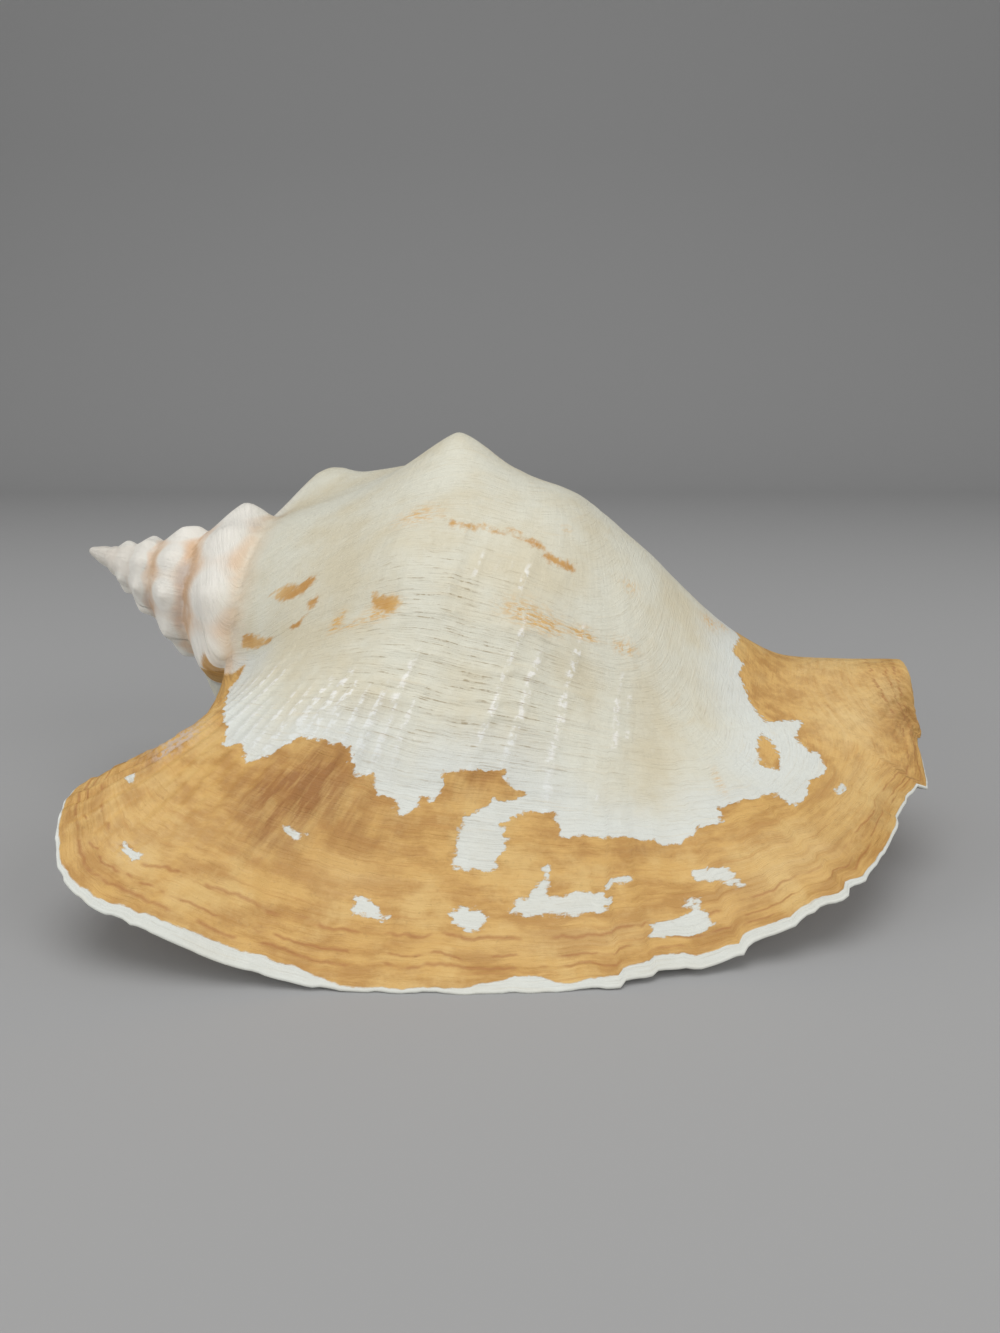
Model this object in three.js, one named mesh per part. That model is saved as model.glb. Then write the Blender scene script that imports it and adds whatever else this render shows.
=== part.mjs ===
// A large conch shell with a broad flared lip, lying on its opening as it would on a shelf.
// Lengths are millimetres. Z is up, X runs from the pointed spire to the canal, and the lip
// spreads towards -Y. Places round the coiling axis are given in turns: 0 is the top of the
// last whorl, a quarter is the side of the lip, and growth runs upwards in turns.
import * as THREE from "three";

// Coiling axis
const APEX = new THREE.Vector3(-117, 13, 70);
const AXIS_FALL = THREE.MathUtils.degToRad(13.5);
const AXIS_YAW = THREE.MathUtils.degToRad(8.9);
const ALONG = new THREE.Vector3(
  Math.cos(AXIS_FALL) * Math.cos(AXIS_YAW),
  -Math.cos(AXIS_FALL) * Math.sin(AXIS_YAW),
  -Math.sin(AXIS_FALL),
);
const LIPWARD = new THREE.Vector3(-Math.sin(AXIS_YAW), -Math.cos(AXIS_YAW), 0);
const SKYWARD = new THREE.Vector3().crossVectors(ALONG, LIPWARD).negate();
const AXIS_LENGTH = 222;

// Shift that brings the middle of the shell's box over the origin
const STAND_X = 4.83;
const STAND_Y = 26.61;

// Coil
const GROWTH_PER_TURN = 1.55;
const WHORLS = 9;
const SHOULDER_AT = 66.2;
const CREST_AT = 97;
const SUTURE_AT = 53;
const SUTURE_RADIUS = 23.5;
const PARIETAL_TURN = -0.64;
const LIP_FOOT_TURN = 0.36;
const CAVITY_END_TURN = -0.1;

// Last whorl: distance from the apex and radius, then turn and share of that radius
const LAST_WHORL = curve([
  [40, 24], [53, 34], [60, 40], [75, 46], [95, 48.5], [110, 50], [125, 50],
  [149, 41], [165, 32], [180, 24], [193, 18.6], [208, 14.8], [224, 12.5],
]);
const SWELL_WITH_GROWTH = curve([
  [-1.4, 0.33], [-1.2, 0.35], [-1, 0.42], [-0.85, 0.5], [-0.75, 0.6], [-0.65, 0.71],
  [-0.5, 0.85], [-0.25, 0.94], [0, 1], [0.35, 1.08], [0.5, 1.1],
]);
const COLUMELLA = curve([
  [0, 0], [0.7, 1], [2, 1.6], [5, 2.7], [20, 4.5], [60, 12], [150, 11], [200, 8], [224, 6],
]);
// The axis sags a little in the spire and rises with the canal
const AXIS_RISE = curve([
  [0, 0], [15, -1.2], [30, -2], [48, -2], [62, 0], [170, 0], [190, 2.5], [208, 10],
  [224, 16.5], [235, 20],
]);

// Shoulder knobs: turn, distance from the apex, height, width, and the spacing of the older ones
const KNOBS = [
  { turn: 0.15, at: 97, height: 3, width: 10, reach: 46 },
  { turn: 0.012, at: 97.5, height: 9.8, width: 11.5, reach: 46 },
  { turn: -0.105, at: 53.2, height: 17.6, width: 9.7, reach: 38 },
  { turn: -0.225, at: 57, height: 10.5, width: 11.5, reach: 38 },
  { turn: -0.345, at: 56, height: 9.5, width: 11.5, reach: 38 },
  { turn: -0.465, at: 53, height: 7.5, width: 10, reach: 38 },
];

// Extra bumps on the spire, where a knob grew larger than its neighbours
const EXTRA_KNOBS = [
  { turn: -0.99, at: 46, height: 1.3, width: 6, reach: 24 },
  { turn: -1.99, at: 32, height: 2, width: 4, reach: 15.7 },
  { turn: -4, at: 11, height: 1.2, width: 2.2, reach: 5.5 },
];
const KNOB_STEP = 0.107;
const KNOB_HEIGHT = 5.8;
const KNOB_WIDTH = 10;
const OLD_KNOBS = 30;

// Lip: station on the axis, point of the edge, way the surface runs out there, turn at which
// it leaves the whorl, and how hard it is drawn along the whorl and along its edge direction
const LIP = [
  [55, [-73, -21, 35.5], [0, -0.8, -0.8], 0.31, 0.9, 0.4],
  [57, [-75.5, -32, 31.5], [-0.4, -0.9, -0.3], 0.3, 0.9, 0.5],
  [60, [-80.5, -47, 29.3], [-0.6, -0.8, -0.1], 0.29, 0.9, 0.7],
  [65, [-87.8, -58, 29.2], [-0.7, -0.7, -0.1], 0.27, 0.9, 0.8],
  [71, [-92, -69, 28.2], [-0.7, -0.7, -0.1], 0.24, 0.8, 0.8],
  [78, [-91.2, -77, 26.5], [-0.7, -0.8, -0.2], 0.215, 0.8, 0.8],
  [86, [-88.7, -85.5, 21], [-0.6, -0.8, -0.3], 0.195, 0.8, 0.9],
  [94, [-81.5, -92, 16.5], [-0.5, -0.8, -0.35], 0.18, 0.8, 0.9],
  [103, [-68, -96.8, 12.5], [-0.35, -0.8, -0.35], 0.17, 0.8, 0.9],
  [113, [-50, -99, 6], [-0.2, -0.8, -0.35], 0.165, 0.8, 0.9],
  [123, [-31, -100.8, 2.4], [-0.1, -0.8, -0.35], 0.165, 0.8, 0.9],
  [133, [-12, -101.8, 2], [0, -0.8, -0.35], 0.165, 0.8, 0.9],
  [143, [6, -101.3, 2], [0, -0.8, -0.35], 0.165, 0.8, 0.9],
  [152, [23, -100, 2.5], [0.1, -0.8, -0.35], 0.165, 0.8, 0.9],
  [161, [40, -95.3, 3.5], [0.2, -0.8, -0.35], 0.165, 0.8, 0.9],
  [170, [57, -90, 8.5], [0.3, -0.8, -0.35], 0.165, 0.8, 0.8],
  [178, [73, -82, 13.5], [0.45, -0.8, -0.3], 0.165, 0.8, 0.8],
  [186, [84, -70, 17], [0.55, -0.75, -0.3], 0.15, 0.8, 0.8],
  [194, [93, -57, 20], [0.65, -0.7, -0.3], 0.12, 0.8, 0.8],
  [202, [102.5, -46, 22.3], [0.7, -0.6, -0.35], 0.085, 0.9, 0.8],
  [209, [104.2, -39.5, 24.4], [0.6, -0.55, -0.5], 0.06, 1.0, 0.7],
  [216, [105.6, -33, 28], [0.4, -0.5, -0.75], 0.05, 1.0, 0.6],
  [224, [106.5, -30, 29.5], [0.3, -0.4, -0.85], 0.05, 1.0, 0.6],
];
const LIP_START = 55;
const EDGE_THICKNESS = 2.4;
const LIP_THICKENING = 2.8;
const WALL = 5.2;
const LEAST_GAP = 0.4;
const SEAM_DEPTH = 3.5;
const CAVITY_REACH = curve([[55, 1], [62, 1], [185, 1], [205, 0.6], [216, 0.35], [224, 0.2]]);

// Mesh: rows along the axis, and columns over the lip, round the whorl and into the cavity
const SPIRE_ROWS = 28;
const LIP_ROWS = 46;
const LIP_COLUMNS = 10;
const WHORL_COLUMNS = 32;
const CAVITY_COLUMNS = 12;

// A smooth curve through the given points that never overshoots them
function curve(points) {
  const n = points.length;
  const slopes = [];
  for (let i = 0; i + 1 < n; i++) {
    slopes.push((points[i + 1][1] - points[i][1]) / (points[i + 1][0] - points[i][0]));
  }
  const bend = slopes.map((s, i) => {
    const before = slopes[i - 1] ?? s;
    return before * s > 0 ? (2 * before * s) / (before + s) : 0;
  });
  bend[0] = slopes[0];
  bend.push(slopes[n - 2]);
  return (x) => {
    if (x <= points[0][0]) return points[0][1] + (x - points[0][0]) * bend[0];
    if (x >= points[n - 1][0]) return points[n - 1][1] + (x - points[n - 1][0]) * bend[n - 1];
    let i = 0;
    while (x > points[i + 1][0]) i++;
    const h = points[i + 1][0] - points[i][0];
    const t = (x - points[i][0]) / h;
    return hermite(t, points[i][1], h * bend[i], points[i + 1][1], h * bend[i + 1]);
  };
}

function hermite(t, from, fromSlope, to, toSlope) {
  const t2 = t * t;
  const t3 = t2 * t;
  return (2 * t3 - 3 * t2 + 1) * from + (t3 - 2 * t2 + t) * fromSlope
    + (3 * t2 - 2 * t3) * to + (t3 - t2) * toSlope;
}

function ease(from, to, x) {
  return THREE.MathUtils.smoothstep(x, from, to);
}

// Smaller and larger of two heights, with a rounded corner of the given size
function softMin(a, b, round) {
  const h = THREE.MathUtils.clamp(0.5 + (0.5 * (b - a)) / round, 0, 1);
  return b + (a - b) * h - round * h * (1 - h);
}

function softMax(a, b, round) {
  return -softMin(-a, -b, round);
}

// Logarithmic growth: the same outline, larger by a fixed factor every turn
function grown(turn) {
  return GROWTH_PER_TURN ** turn;
}

// Shoulder radius over shoulder station: the early whorls are a little narrower
function spiralWidth(turn) {
  return 0.53 - 0.025 * ease(1.35, 1.75, -turn);
}

function shoulderAt(turn) {
  const spiral = SHOULDER_AT * grown(turn);
  const drawnIn = 4 * Math.exp(-(((turn + 0.12) / 0.08) ** 2));
  return spiral - drawnIn + (CREST_AT - spiral) * ease(-0.125, 0.02, turn);
}

function sutureAt(turn) {
  return turn < 0 ? SUTURE_AT * grown(turn) : SUTURE_AT + 4.3 * Math.min(turn, 1);
}

function sutureRadius(turn) {
  return turn < 0 ? SUTURE_RADIUS * grown(turn) : SUTURE_RADIUS + 10 * Math.min(turn, 1);
}

const ALL_KNOBS = [...KNOBS, ...EXTRA_KNOBS];
for (let k = 1; k <= OLD_KNOBS; k++) {
  const turn = KNOBS[KNOBS.length - 1].turn - k * KNOB_STEP;
  const size = grown(turn);
  ALL_KNOBS.push({
    turn,
    at: SHOULDER_AT * size,
    height: KNOB_HEIGHT * size,
    width: KNOB_WIDTH * size,
    reach: 0.56 * SHOULDER_AT * size,
  });
}

function knobHeight(at, turn) {
  let height = 0;
  for (const knob of ALL_KNOBS) {
    const round = 2 * Math.PI * knob.reach * (turn - knob.turn);
    height += knob.height * Math.exp(-((Math.hypot(at - knob.at, round) / knob.width) ** 1.5));
  }
  return height;
}

// The swelling under the body whorl that the shell lies on
function underSwelling(at, turn) {
  return 5.5 * Math.exp(-(((at - 100) / 30) ** 2) - ((turn + 0.44) / 0.11) ** 2);
}

// Radius of one whorl: a ramp up from the suture, then the whorl's own outline
function outlineRadius(at, turn) {
  const size = SHOULDER_AT * grown(turn);
  const x = at / size;
  const wide = spiralWidth(turn);
  const front = Math.max(wide + 0.02 - 0.3 * (x - 1.24), 0.05);
  const spiral = size * (x < 1.24 ? wide + 0.083 * (x - 1) : front);
  const last = LAST_WHORL(at) * SWELL_WITH_GROWTH(turn) * ease(-1.15, -0.7, turn);
  return softMax(spiral, last, 2 * grown(Math.min(turn, 0)));
}

function shoulderRadius(turn) {
  const at = shoulderAt(turn);
  const size = SHOULDER_AT * grown(turn);
  const spiral = size * (spiralWidth(turn) + 0.083 * (Math.min(at / size, 1.24) - 1));
  const last = LAST_WHORL(at) * SWELL_WITH_GROWTH(turn) * ease(-1.15, -0.7, turn);
  return softMax(spiral, last, 2 * grown(Math.min(turn, 0)));
}

function whorlRadius(at, turn) {
  const rise = (shoulderRadius(turn) - sutureRadius(turn)) / (shoulderAt(turn) - sutureAt(turn));
  const ramp = sutureRadius(turn) + rise * (at - sutureAt(turn));
  const smooth = softMin(ramp, outlineRadius(at, turn), 6 * grown(Math.min(turn, 0)));
  return smooth + knobHeight(at, turn) + underSwelling(at, turn);
}

// Radius of the shell at a turn: the outermost of this whorl and all the earlier ones
function radius(at, turn) {
  let r = softMax(COLUMELLA(at), whorlRadius(at, turn), 0.8);
  for (let k = 1; k < WHORLS; k++) r = Math.max(r, whorlRadius(at, turn - k));
  return r;
}

function outwards(turn) {
  const angle = 2 * Math.PI * turn;
  return LIPWARD.clone().multiplyScalar(Math.sin(angle)).addScaledVector(SKYWARD, Math.cos(angle));
}

function place(at, turn, r) {
  return APEX.clone()
    .addScaledVector(ALONG, at)
    .addScaledVector(SKYWARD, AXIS_RISE(at))
    .addScaledVector(outwards(turn), r);
}

// Lip values at a station between the listed ones
const LIP_CURVES = {
  edge: [0, 1, 2].map((i) => curve(LIP.map((row) => [row[0], row[1][i]]))),
  run: [0, 1, 2].map((i) => curve(LIP.map((row) => [row[0], row[2][i]]))),
  leaves: curve(LIP.map((row) => [row[0], row[3]])),
  drawnWhorl: curve(LIP.map((row) => [row[0], row[4]])),
  drawnEdge: curve(LIP.map((row) => [row[0], row[5]])),
};

function lipAt(station) {
  const at = THREE.MathUtils.clamp(station, LIP_START, AXIS_LENGTH);
  return {
    edge: new THREE.Vector3(...LIP_CURVES.edge.map((f) => f(at))),
    run: new THREE.Vector3(...LIP_CURVES.run.map((f) => f(at))).normalize(),
    leaves: LIP_CURVES.leaves(at),
    drawnWhorl: LIP_CURVES.drawnWhorl(at),
    drawnEdge: LIP_CURVES.drawnEdge(at),
  };
}

// Outer surface from the edge of the lip (way 0) to the whorl (way 0.5) and on over its top (way 1)
function outerPoint(at, way) {
  const lip = lipAt(at);
  if (way > 0.5) {
    const turn = lip.leaves + (CAVITY_END_TURN - lip.leaves) * (way - 0.5) * 2;
    return place(at, turn, radius(at, turn));
  }
  const out = 1 - 2 * way;
  const step = 0.001;
  const foot = place(at, lip.leaves, radius(at, lip.leaves));
  const ahead = place(at, lip.leaves + step, radius(at, lip.leaves + step));
  const behind = place(at, lip.leaves - step, radius(at, lip.leaves - step));
  const reach = lip.edge.distanceTo(foot);
  const leave = ahead.sub(behind).normalize().multiplyScalar(reach * lip.drawnWhorl);
  const arrive = lip.run.clone().multiplyScalar(reach * lip.drawnEdge);
  return new THREE.Vector3(
    hermite(out, foot.x, leave.x, lip.edge.x, arrive.x),
    hermite(out, foot.y, leave.y, lip.edge.y, arrive.y),
    hermite(out, foot.z, leave.z, lip.edge.z, arrive.z),
  );
}

// Turn of the cavity at the same way, and the wall of the earlier whorl that faces the opening
function cavityTurn(at, way) {
  const leaves = lipAt(at).leaves;
  if (way < 0.5) return LIP_FOOT_TURN + (leaves - LIP_FOOT_TURN) * way * 2;
  return leaves + (CAVITY_END_TURN - leaves) * (way - 0.5) * 2;
}

function seamStation(at, way) {
  return at + SEAM_DEPTH * ease(0, 0.3, way) * (1 - ease(62, 90, at));
}

function parietalPoint(at, way) {
  const turn = cavityTurn(at, way);
  const station = seamStation(at, way);
  return place(station, turn, radius(station, turn - 1));
}

// Underside of the lip, which runs on as the inner face of the last whorl's wall
function innerPoint(at, way) {
  const lip = lipAt(at);
  const turn = cavityTurn(at, way);
  const station = seamStation(at, way);
  const earlier = radius(station, turn - 1);
  const outerTurn = way < 0.5 ? lip.leaves : turn;
  const gap = Math.max(radius(station, outerTurn) - WALL - earlier, LEAST_GAP);
  const deep = place(station, turn, earlier + gap);
  const edgeBefore = lipAt(at - 0.05).edge;
  const edgeAfter = lipAt(at + 0.05).edge;
  const edgeRun = edgeAfter.sub(edgeBefore).normalize();
  const under = new THREE.Vector3().crossVectors(edgeRun, lip.run).normalize();
  const flare = ease(0, 1, Math.max(1 - 2 * way, 0));
  const inwards = under.multiplyScalar(flare)
    .addScaledVector(outwards(outerTurn), flare - 1)
    .normalize();
  const thickness = EDGE_THICKNESS + LIP_THICKENING * ease(0, 0.35, way);
  const under_lip = outerPoint(at, way).addScaledVector(inwards, thickness);
  const wall = under_lip.lerp(deep, ease(0.42, 0.62, way));
  return parietalPoint(at, way).lerp(wall, ease(LIP_START, 60, at));
}

// Points and faces of the closed surface
const points = [];
const faces = [];

function addPoint(p) {
  points.push(new THREE.Vector3(p.x, p.y, Math.max(p.z, 0)));
  return points.length - 1;
}

function addBand(before, after) {
  const n = before.length;
  for (let j = 0; j < n; j++) {
    const k = (j + 1) % n;
    const corners = [[before[j], after[k], before[k]], [before[j], after[j], after[k]]];
    for (const [a, b, c] of corners) {
      if (a !== b && b !== c && c !== a) faces.push(a, b, c);
    }
  }
}

function steps(n) {
  return Array.from({ length: n + 1 }, (_, i) => i / n);
}

// Spire: closed rings round the axis
const apexPoint = addPoint(APEX);
const ringSize = LIP_COLUMNS + WHORL_COLUMNS;
let ring = Array(ringSize).fill(apexPoint);
for (const v of steps(SPIRE_ROWS).slice(1)) {
  const at = LIP_START * (0.25 * v + 0.75 * v ** 1.5);
  const leaves = lipAt(LIP_START).leaves - 0.14 * (1 - ease(38, LIP_START, at));
  const turns = [
    ...steps(LIP_COLUMNS).map((t) => LIP_FOOT_TURN + (leaves - LIP_FOOT_TURN) * t),
    ...steps(WHORL_COLUMNS).slice(1, -1).map((t) => leaves + (PARIETAL_TURN - leaves) * t),
  ];
  const next = turns.map((turn) => addPoint(place(at, turn, radius(at, turn) * Math.min(4 * at, 1))));
  addBand(ring, next);
  ring = next;
}

// Where the lip begins, the cavity starts as a seam that opens out from the suture
const ways = steps(CAVITY_COLUMNS);
const seam = ways.slice(1).map((way) => addPoint(parietalPoint(LIP_START, way)));
const foot = ring[0];
const deepest = seam[seam.length - 1];
let loop = [...ring, foot, ...seam, deepest, ...[...seam].reverse(), foot, foot];

// Last whorl: over the lip, round the body, into the cavity and back under the lip
for (const v of steps(LIP_ROWS).slice(1)) {
  const at = LIP_START + (AXIS_LENGTH - LIP_START) * (0.72 * v + 0.28 * v ** 2);
  const reach = CAVITY_REACH(at);
  const lip = lipAt(at);
  const overLip = steps(LIP_COLUMNS).map((t) => outerPoint(at, t / 2));
  const roundBody = steps(WHORL_COLUMNS).slice(1).map((t) => {
    const turn = lip.leaves + (PARIETAL_TURN - lip.leaves) * t;
    return place(at, turn, radius(at, turn));
  });
  const inwardsAgain = ways.slice(1).map((way) => parietalPoint(at, way * reach));
  const underLip = ways.map((way) => innerPoint(at, way * reach)).reverse();
  const end = inwardsAgain[inwardsAgain.length - 1].clone().lerp(underLip[0], 0.5);
  const rim = overLip[0].clone().lerp(underLip[underLip.length - 1], 0.5)
    .addScaledVector(lip.run, ease(LIP_START, 60, at));
  const next = [...overLip, ...roundBody, ...inwardsAgain, end, ...underLip, rim].map(addPoint);
  addBand(loop, next);
  loop = next;
}

// Rounded end of the canal
const middle = new THREE.Vector3();
for (const i of loop) middle.addScaledVector(points[i], 1 / loop.length);
const canalEnd = loop.map((i) => points[i].clone());
for (const [size, out] of [[0.93, 1.4], [0.7, 2.6], [0.35, 3.2]]) {
  const next = canalEnd.map((p) => {
    return addPoint(middle.clone().lerp(p, size).addScaledVector(ALONG, out));
  });
  addBand(loop, next);
  loop = next;
}
const canalPoint = addPoint(middle.clone().addScaledVector(ALONG, 3.4));
addBand(loop, loop.map(() => canalPoint));

const geometry = new THREE.BufferGeometry();
geometry.setAttribute("position", new THREE.Float32BufferAttribute(points.flatMap((p) => p.toArray()), 3));
geometry.setIndex(faces);
geometry.translate(STAND_X, STAND_Y, 0);
geometry.computeVertexNormals();

const shellMaterial = new THREE.MeshStandardMaterial({
  color: 0xe2cfa8,
  roughness: 0.55,
  metalness: 0,
});
const shell = new THREE.Mesh(geometry, shellMaterial);
shell.name = "shell";

const part = new THREE.Group();
part.name = "conch_shell";
part.add(shell);

export default part;
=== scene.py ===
# %% [markdown]
# # A conch shell lying on its opening
#
# The shell is one grown piece. The animal coils a tube round an axis and adds to its edge, so
# every earlier edge stays in the wall as a growth line, and every knob of the mantle leaves a
# cord that runs along the coil. An adult stops coiling and spreads its last edge into a wide
# lip. This notebook grows the same form from those rules, on a fine grid, and gives it the
# chalky white wall and the chipped tan skin of the real one.

# %% Start from the solid model
import math

import bpy
import numpy as np
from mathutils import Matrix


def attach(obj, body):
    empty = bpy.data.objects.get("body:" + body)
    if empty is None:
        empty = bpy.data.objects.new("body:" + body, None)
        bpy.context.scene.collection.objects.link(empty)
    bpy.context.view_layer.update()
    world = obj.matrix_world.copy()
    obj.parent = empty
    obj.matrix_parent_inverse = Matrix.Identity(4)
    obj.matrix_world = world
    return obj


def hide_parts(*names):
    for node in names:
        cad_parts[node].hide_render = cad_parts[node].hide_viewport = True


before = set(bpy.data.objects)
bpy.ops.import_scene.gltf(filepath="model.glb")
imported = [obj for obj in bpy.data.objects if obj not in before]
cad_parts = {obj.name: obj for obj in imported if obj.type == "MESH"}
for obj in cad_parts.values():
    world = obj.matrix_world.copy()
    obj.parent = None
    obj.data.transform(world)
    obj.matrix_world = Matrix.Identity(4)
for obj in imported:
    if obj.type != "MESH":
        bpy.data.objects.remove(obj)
bpy.context.view_layer.update()

# %% [markdown]
# ## The rules of growth
#
# Places on the shell have two numbers. The station is the distance from the apex along the
# coiling axis, in millimetres. The turn counts growth round the axis: 0 is the top of the last
# whorl and a quarter of a turn is the side of the lip. Every whorl has the same outline, larger
# by a fixed factor per turn, which makes a logarithmic spiral. Only the last whorl breaks the
# rule and swells.

# %% Curves through points
def hermite(t, start, start_slope, end, end_slope):
    """Cubic between two values with the given slopes at its ends, t from 0 to 1."""
    rest = (t**3 - 2 * t**2 + t) * start_slope + (t**3 - t**2) * end_slope
    return (2 * t**3 - 3 * t**2 + 1) * start + (3 * t**2 - 2 * t**3) * end + rest


def curve(stations, values):
    """Cubic curve through the points that never overshoots them, straight beyond the ends."""
    xs = np.array(stations, float)
    ys = np.array(values, float)
    steps = np.diff(xs)
    rises = np.diff(ys) / steps
    slopes = np.empty_like(xs)
    slopes[0], slopes[-1] = rises[0], rises[-1]
    both = rises[:-1] * rises[1:]
    slopes[1:-1] = np.where(both > 0, 2 * both / np.where(both > 0, rises[:-1] + rises[1:], 1), 0)

    def value(x):
        """Height of the curve at x, from the cubic between the two points beside it."""
        x = np.asarray(x, float)
        inside = np.clip(x, xs[0], xs[-1])
        i = np.clip(np.searchsorted(xs, inside, side="right") - 1, 0, len(xs) - 2)
        t = (inside - xs[i]) / steps[i]
        smooth = hermite(t, ys[i], steps[i] * slopes[i], ys[i + 1], steps[i] * slopes[i + 1])
        return smooth + (x - inside) * np.where(x < inside, slopes[0], slopes[-1])

    return value


print("cubic half way from 0 to 1:", hermite(0.5, 0, 0, 1, 0))


# %% Steps, windows and rounded corners
def ease(start, end, x):
    """Smooth step from 0 at start to 1 at end."""
    t = np.clip((x - start) / (end - start), 0, 1)
    return t * t * (3 - 2 * t)


def window(start, end, edge, x):
    """1 between start and end, easing to 0 over the edge width on both sides."""
    return ease(start - edge, start + edge, x) * (1 - ease(end - edge, end + edge, x))


def soft_min(a, b, rounding):
    """Smaller of two heights with a rounded corner between them."""
    h = np.clip(0.5 + 0.5 * (b - a) / rounding, 0, 1)
    return b + (a - b) * h - rounding * h * (1 - h)


def soft_max(a, b, rounding):
    """Larger of two heights with a rounded corner between them."""
    return -soft_min(-a, -b, rounding)


def unit(vectors):
    """Vectors divided by their own length."""
    return vectors / np.maximum(np.linalg.norm(vectors, axis=-1, keepdims=True), 1e-9)


print("corner of two equal heights is rounded by", float(-soft_min(0, 0, 1.0)))

# %% The coiling axis
AXIS_FALL = math.radians(13.5)
AXIS_YAW = math.radians(8.9)
AXIS_LENGTH = 222.0
STAND = np.array([4.83, 26.61, 0.0])
APEX = np.array([-117.0, 13.0, 70.0]) + STAND
ALONG = np.array([
    math.cos(AXIS_FALL) * math.cos(AXIS_YAW),
    -math.cos(AXIS_FALL) * math.sin(AXIS_YAW),
    -math.sin(AXIS_FALL),
])
LIPWARD = np.array([-math.sin(AXIS_YAW), -math.cos(AXIS_YAW), 0.0])
SKYWARD = np.cross(LIPWARD, ALONG)
axis_rise = curve(
    [0, 15, 30, 48, 62, 170, 190, 208, 224, 235],
    [0, -1.2, -2.0, -2.0, 0, 0, 2.5, 10, 16.5, 20],
)
print("the axis runs along", ALONG.round(3))

# %% Widths of the whorls
GROWTH_PER_TURN = 1.55
WHORLS = 9
SHOULDER_AT = 66.2
CREST_AT = 97.0
SUTURE_AT = 53.0
SUTURE_RADIUS = 23.5
LIP_START = 55.0
LIP_FOOT_TURN = 0.36
PARIETAL_TURN = -0.64
CAVITY_END_TURN = -0.1

last_whorl = curve(
    [40, 53, 60, 75, 95, 110, 125, 149, 165, 180, 193, 208, 224],
    [24, 34, 40, 46, 48.5, 50, 50, 41, 32, 24, 18.6, 14.8, 12.5],
)
swell = curve(
    [-1.4, -1.2, -1.0, -0.85, -0.75, -0.65, -0.5, -0.25, 0.0, 0.35, 0.5],
    [0.33, 0.35, 0.42, 0.50, 0.60, 0.71, 0.85, 0.94, 1.0, 1.08, 1.1],
)
columella = curve([0, 0.7, 2, 5, 20, 60, 150, 200, 224], [0, 1.0, 1.6, 2.7, 4.5, 12, 11, 8, 6])
print("each whorl is", GROWTH_PER_TURN, "times as large as the one before")

# %% Knobs
SPIRE_KNOBS = 30
SPIRE_KNOBS_AFTER = -0.465
KNOB_SPACING = 0.107

# turn, station, height, width, distance from the axis
KNOBS = [
    (0.15, 97, 3.0, 10, 46),
    (0.012, 97.5, 9.8, 11.5, 46),
    (-0.105, 53.2, 17.6, 9.7, 38),
    (-0.225, 57, 10.5, 11.5, 38),
    (-0.345, 56, 9.5, 11.5, 38),
    (-0.465, 53, 7.5, 10, 38),
    (-0.99, 46, 1.3, 6, 24),
    (-1.99, 32, 2.0, 4, 15.7),
    (-4.0, 11, 1.2, 2.2, 5.5),
]
for k in range(1, SPIRE_KNOBS + 1):
    knob_turn = SPIRE_KNOBS_AFTER - KNOB_SPACING * k
    knob_size = GROWTH_PER_TURN**knob_turn
    KNOBS.append((
        knob_turn,
        SHOULDER_AT * knob_size,
        5.8 * knob_size,
        10 * knob_size,
        0.56 * SHOULDER_AT * knob_size,
    ))
print(len(KNOBS), "knobs, the tallest", max(knob[2] for knob in KNOBS), "mm")


# %% Size, shoulder and suture of a whorl
def grown(turn):
    """Size against that of the last whorl: the growth per turn, raised to the turn."""
    return GROWTH_PER_TURN**turn


def spiral_width(turn):
    """Shoulder radius over shoulder station: the early whorls are a little narrower."""
    return 0.53 - 0.025 * ease(-1.35, -1.75, turn)


def shoulder_at(turn):
    """Station of the shoulder: on the spiral, drawn back at one knob, then out to the crest."""
    spiral = SHOULDER_AT * grown(turn)
    drawn_back = 4 * np.exp(-(((turn + 0.12) / 0.08) ** 2))
    return spiral - drawn_back + (CREST_AT - spiral) * ease(-0.125, 0.02, turn)


def suture_at(turn):
    """Station where a whorl meets the one before: on the spiral up to turn 0, then even steps."""
    spiral = SUTURE_AT * grown(np.minimum(turn, 0))
    return np.where(turn < 0, spiral, SUTURE_AT + 4.3 * np.clip(turn, 0, 1))


def suture_radius(turn):
    """Distance of the suture from the axis, by the same rule."""
    spiral = SUTURE_RADIUS * grown(np.minimum(turn, 0))
    return np.where(turn < 0, spiral, SUTURE_RADIUS + 10 * np.clip(turn, 0, 1))


print("shoulder before the last turn at", round(float(shoulder_at(np.array(-1.0))), 1), "mm")


# %% Outline of a whorl
def knob_height(station, turn):
    """Sum of rounded bumps, one for each knob, that die away over the knob's width."""
    height = np.zeros(np.broadcast(station, turn).shape)
    for knob_turn, at, tall, wide, reach in KNOBS:
        if tall > 0.15:
            round_axis = 2 * np.pi * reach * (turn - knob_turn)
            height += tall * np.exp(-((np.hypot(station - at, round_axis) / wide) ** 1.5))
    return height


def with_last_whorl(spiral, station, turn):
    """Larger of the spiral's radius and the swollen last whorl's, with a rounded corner."""
    last = last_whorl(station) * swell(turn) * ease(-1.15, -0.7, turn)
    return soft_max(spiral, last, 2 * grown(np.minimum(turn, 0)))


def outline(station, turn):
    """Radius of the wall: widens a little up to 1.24 of the shoulder's station, then narrows."""
    size = SHOULDER_AT * grown(turn)
    x = station / size
    wide = spiral_width(turn)
    front = np.maximum(wide + 0.02 - 0.3 * (x - 1.24), 0.05)
    spiral = size * np.where(x < 1.24, wide + 0.083 * (x - 1), front)
    return with_last_whorl(spiral, station, turn)


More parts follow.
